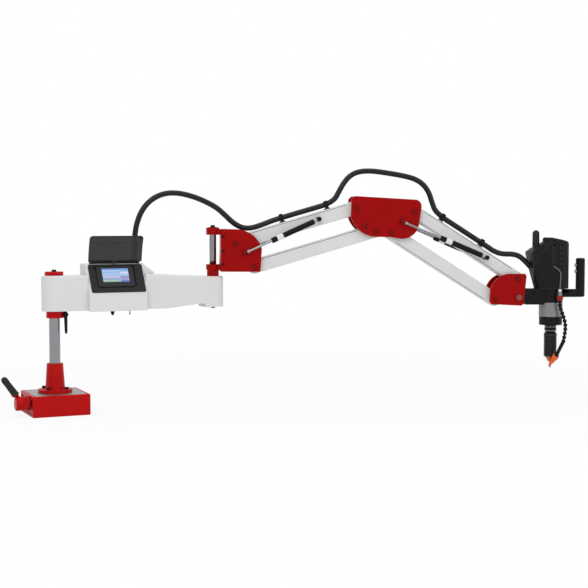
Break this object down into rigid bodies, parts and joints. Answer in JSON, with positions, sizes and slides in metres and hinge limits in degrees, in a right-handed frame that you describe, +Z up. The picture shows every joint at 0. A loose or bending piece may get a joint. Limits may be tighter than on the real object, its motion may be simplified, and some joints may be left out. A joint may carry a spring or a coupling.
{
  "type": "arm tapping machine",
  "caption": "Magnet-base tapping machine: swinging arm with a control console, two sprung parallel linkages and a tilting servo tapping head with an upright grip.",
  "frame": {"origin": "centre of the column on the underside of the magnet base", "axes": "+X along the arm towards the forearm, +Z up, the forearm turned 17 degrees towards -Y at rest"},
  "size_m": [2.1247, 0.5468, 0.8596],
  "materials": {
    "red_enamel": "semi-gloss enamel",
    "white_enamel": "semi-gloss powder coat",
    "ground_steel": "ground",
    "hard_chrome": "polished hard chrome",
    "black_oxide": "black oxide",
    "magnet_iron": "machined",
    "grey_aluminium": "satin anodised",
    "black_plastic": "moulded, fine texture",
    "dark_panel": "fine texture",
    "display": "glass front",
    "smoked_lid": "smoked acrylic",
    "bronze": "sintered",
    "conduit": "spiral corrugated",
    "green_board": "circuit board",
    "coolant_blue_orange": "moulded"
  },
  "bodies": {
    "base": {"base_cover": "red_enamel", "base_top_plate": "ground_steel", "magnet_block": "magnet_iron", "column_flange": "red_enamel", "flange_and_cap_bolts": "black_oxide", "column": "hard_chrome", "column_cap": "red_enamel", "clamp_collar": "red_enamel"},
    "magnet_switch": {"magnet_switch": "red_enamel"},
    "clamp_lever": {"clamp_lever": "black_plastic"},
    "arm": {"arm_casting": "white_enamel", "arm_bottom_cover": "white_enamel", "arm_bearings": "bronze", "console_housing": "white_enamel", "panel_frame": "dark_panel", "display": "display", "control_board": "green_board", "conduit_gland": "black_plastic", "forearm_post": "hard_chrome", "conduit_1": "conduit"},
    "panel_lid": {"panel_lid": "smoked_lid"},
    "toggle_lever": {"toggle_lever": "grey_aluminium"},
    "clevis": {"clevis_bracket": "red_enamel", "clevis_plates": "red_enamel", "clevis_pins": "black_oxide"},
    "link_1_upper": {"link_1_upper": "white_enamel", "link_1_fittings": "black_oxide", "conduit_2": "conduit", "conduit_3": "conduit"},
    "link_1_lower": {"link_1_lower": "white_enamel"},
    "spring_1_tubes": {"spring_1_tubes": "black_plastic"},
    "spring_1_rods": {"spring_1_rods": "hard_chrome"},
    "elbow": {"elbow_plates": "red_enamel", "elbow_pins": "black_oxide"},
    "link_2_upper": {"link_2_upper": "white_enamel", "link_2_fittings": "black_oxide", "conduit_4": "conduit", "conduit_5": "conduit"},
    "link_2_lower": {"link_2_lower": "white_enamel"},
    "spring_2_tubes": {"spring_2_tubes": "black_plastic"},
    "spring_2_rods": {"spring_2_rods": "hard_chrome"},
    "wrist": {"wrist_plates": "red_enamel", "wrist_pins": "black_oxide"},
    "tilt_knob": {"tilt_knob": "black_oxide"},
    "head": {"head_block": "black_oxide", "gearbox_housing": "grey_aluminium", "gearbox_collar": "black_oxide", "spindle_bearings": "ground_steel", "motor_cover": "black_plastic", "servo_motor": "grey_aluminium", "handles": "black_plastic", "coolant_valve": "grey_aluminium", "coolant_hose": "black_plastic", "conduit_6": "conduit"},
    "coolant_knob": {"coolant_knob": "coolant_blue_orange"},
    "spindle": {"spindle": "hard_chrome", "tap": "ground_steel"},
    "chuck_sleeve": {"chuck_sleeve": "black_oxide"},
    "button_upper": {"button_upper": "hard_chrome"},
    "button_lower": {"button_lower": "hard_chrome"}
  },
  "joints": [
    {"name": "arm_swing", "type": "hinge", "parent": "base", "child": "arm", "pos_m": [0, 0, 0.4], "axis": [0, 0, 1], "range_deg": [-180, 180]},
    {"name": "magnet_turn", "type": "hinge", "parent": "base", "child": "magnet_switch", "pos_m": [-0.1, -0.041, 0.044], "axis": [-1, 0, 0], "range_deg": [0, 90]},
    {"name": "clamp_turn", "type": "hinge", "parent": "base", "child": "clamp_lever", "pos_m": [0.035, 0, 0.3422], "axis": [0, 1, 0], "range_deg": [-75, 12]},
    {"name": "lid_hinge", "type": "hinge", "parent": "arm", "child": "panel_lid", "pos_m": [0.2, -0.00772, 0.52063], "axis": [1, 0, 0], "range_deg": [0, 132]},
    {"name": "toggle", "type": "hinge", "parent": "arm", "child": "toggle_lever", "pos_m": [0.271, 0, 0.359], "axis": [0, 1, 0], "range_deg": [-12, 12]},
    {"name": "forearm_swing", "type": "hinge", "parent": "arm", "child": "clevis", "pos_m": [0.586, 0, 0.55], "axis": [0, 0, 1], "range_deg": [-123, 157], "deforming": ["conduit_1"]},
    {"name": "lift_1", "type": "hinge", "parent": "clevis", "child": "link_1_upper", "pos_m": [0.6625, -0.02339, 0.584], "axis": [-0.2924, -0.9563, 0], "range_deg": [-24, 24], "deforming": ["conduit_2"]},
    {"name": "follow_1", "type": "hinge", "parent": "clevis", "child": "link_1_lower", "pos_m": [0.72945, -0.04386, 0.499], "axis": [-0.2924, -0.9563, 0], "range_deg": [-25, 25]},
    {"name": "level_1", "type": "hinge", "parent": "link_1_upper", "child": "elbow", "pos_m": [1.08942, -0.15391, 0.71412], "axis": [-0.2924, -0.9563, 0], "range_deg": [-25, 25], "deforming": ["conduit_3"]},
    {"name": "spring_1_turn", "type": "hinge", "parent": "link_1_upper", "child": "spring_1_tubes", "pos_m": [0.95262, -0.11209, 0.67243], "axis": [-0.2924, -0.9563, 0], "range_deg": [-1.28, 1.28]},
    {"name": "spring_1_stroke", "type": "slide", "parent": "spring_1_tubes", "child": "spring_1_rods", "axis": [-0.8708, 0.2662, -0.4132], "range_m": [-0.01877, 0.01877]},
    {"name": "lift_2", "type": "hinge", "parent": "elbow", "child": "link_2_upper", "pos_m": [1.29464, -0.21665, 0.70012], "axis": [-0.2924, -0.9563, 0], "range_deg": [-18, 22], "deforming": ["conduit_4"]},
    {"name": "follow_2", "type": "hinge", "parent": "elbow", "child": "link_2_lower", "pos_m": [1.21336, -0.1918, 0.62262], "axis": [-0.2924, -0.9563, 0], "range_deg": [-19, 23]},
    {"name": "level_2", "type": "hinge", "parent": "link_2_upper", "child": "wrist", "pos_m": [1.67052, -0.33157, 0.45165], "axis": [-0.2924, -0.9563, 0], "range_deg": [-23, 19], "deforming": ["conduit_5"]},
    {"name": "spring_2_turn", "type": "hinge", "parent": "link_2_upper", "child": "spring_2_tubes", "pos_m": [1.55169, -0.29524, 0.5302], "axis": [-0.2924, -0.9563, 0], "range_deg": [-2.17, 1.77]},
    {"name": "spring_2_stroke", "type": "slide", "parent": "spring_2_tubes", "child": "spring_2_rods", "axis": [-0.882, 0.2696, 0.3866], "range_m": [-0.01629, 0.01991]},
    {"name": "head_tilt", "type": "hinge", "parent": "wrist", "child": "head", "pos_m": [1.67329, -0.33242, 0.381], "axis": [0.2924, 0.9563, 0], "range_deg": [0, 90], "deforming": ["conduit_6"]},
    {"name": "tilt_knob_turn", "type": "hinge", "parent": "wrist", "child": "tilt_knob", "pos_m": [1.67329, -0.33242, 0.381], "axis": [0.2924, 0.9563, 0], "range_deg": [-90, 90]},
    {"name": "coolant_turn", "type": "hinge", "parent": "head", "child": "coolant_knob", "pos_m": [1.80154, -0.4328, 0.377], "axis": [0, 0, 1], "range_deg": [0, 90]},
    {"name": "spindle_turn", "type": "hinge", "parent": "head", "child": "spindle", "pos_m": [1.80335, -0.37218, 0.2], "axis": [0, 0, 1], "continuous": true},
    {"name": "sleeve_slide", "type": "slide", "parent": "spindle", "child": "chuck_sleeve", "axis": [0, 0, 1], "range_m": [0, 0.006]},
    {"name": "button_upper_press", "type": "slide", "parent": "head", "child": "button_upper", "axis": [0.9563, -0.2924, 0], "range_m": [0, 0.003], "stiffness_N_per_m": 600},
    {"name": "button_lower_press", "type": "slide", "parent": "head", "child": "button_lower", "axis": [0.9563, -0.2924, 0], "range_m": [0, 0.003], "stiffness_N_per_m": 600}
  ],
  "couplings": [
    {"joint": "follow_1", "follows": "lift_1", "ratio": 1},
    {"joint": "level_1", "follows": "lift_1", "ratio": -1},
    {"joint": "spring_1_turn", "follows": "lift_1", "ratio": 0.0518},
    {"joint": "spring_1_stroke", "follows": "lift_1", "m_per_rad": 0.043895},
    {"joint": "follow_2", "follows": "lift_2", "ratio": 1},
    {"joint": "level_2", "follows": "lift_2", "ratio": -1},
    {"joint": "spring_2_turn", "follows": "lift_2", "ratio": -0.09613},
    {"joint": "spring_2_stroke", "follows": "lift_2", "m_per_rad": 0.050806}
  ]
}
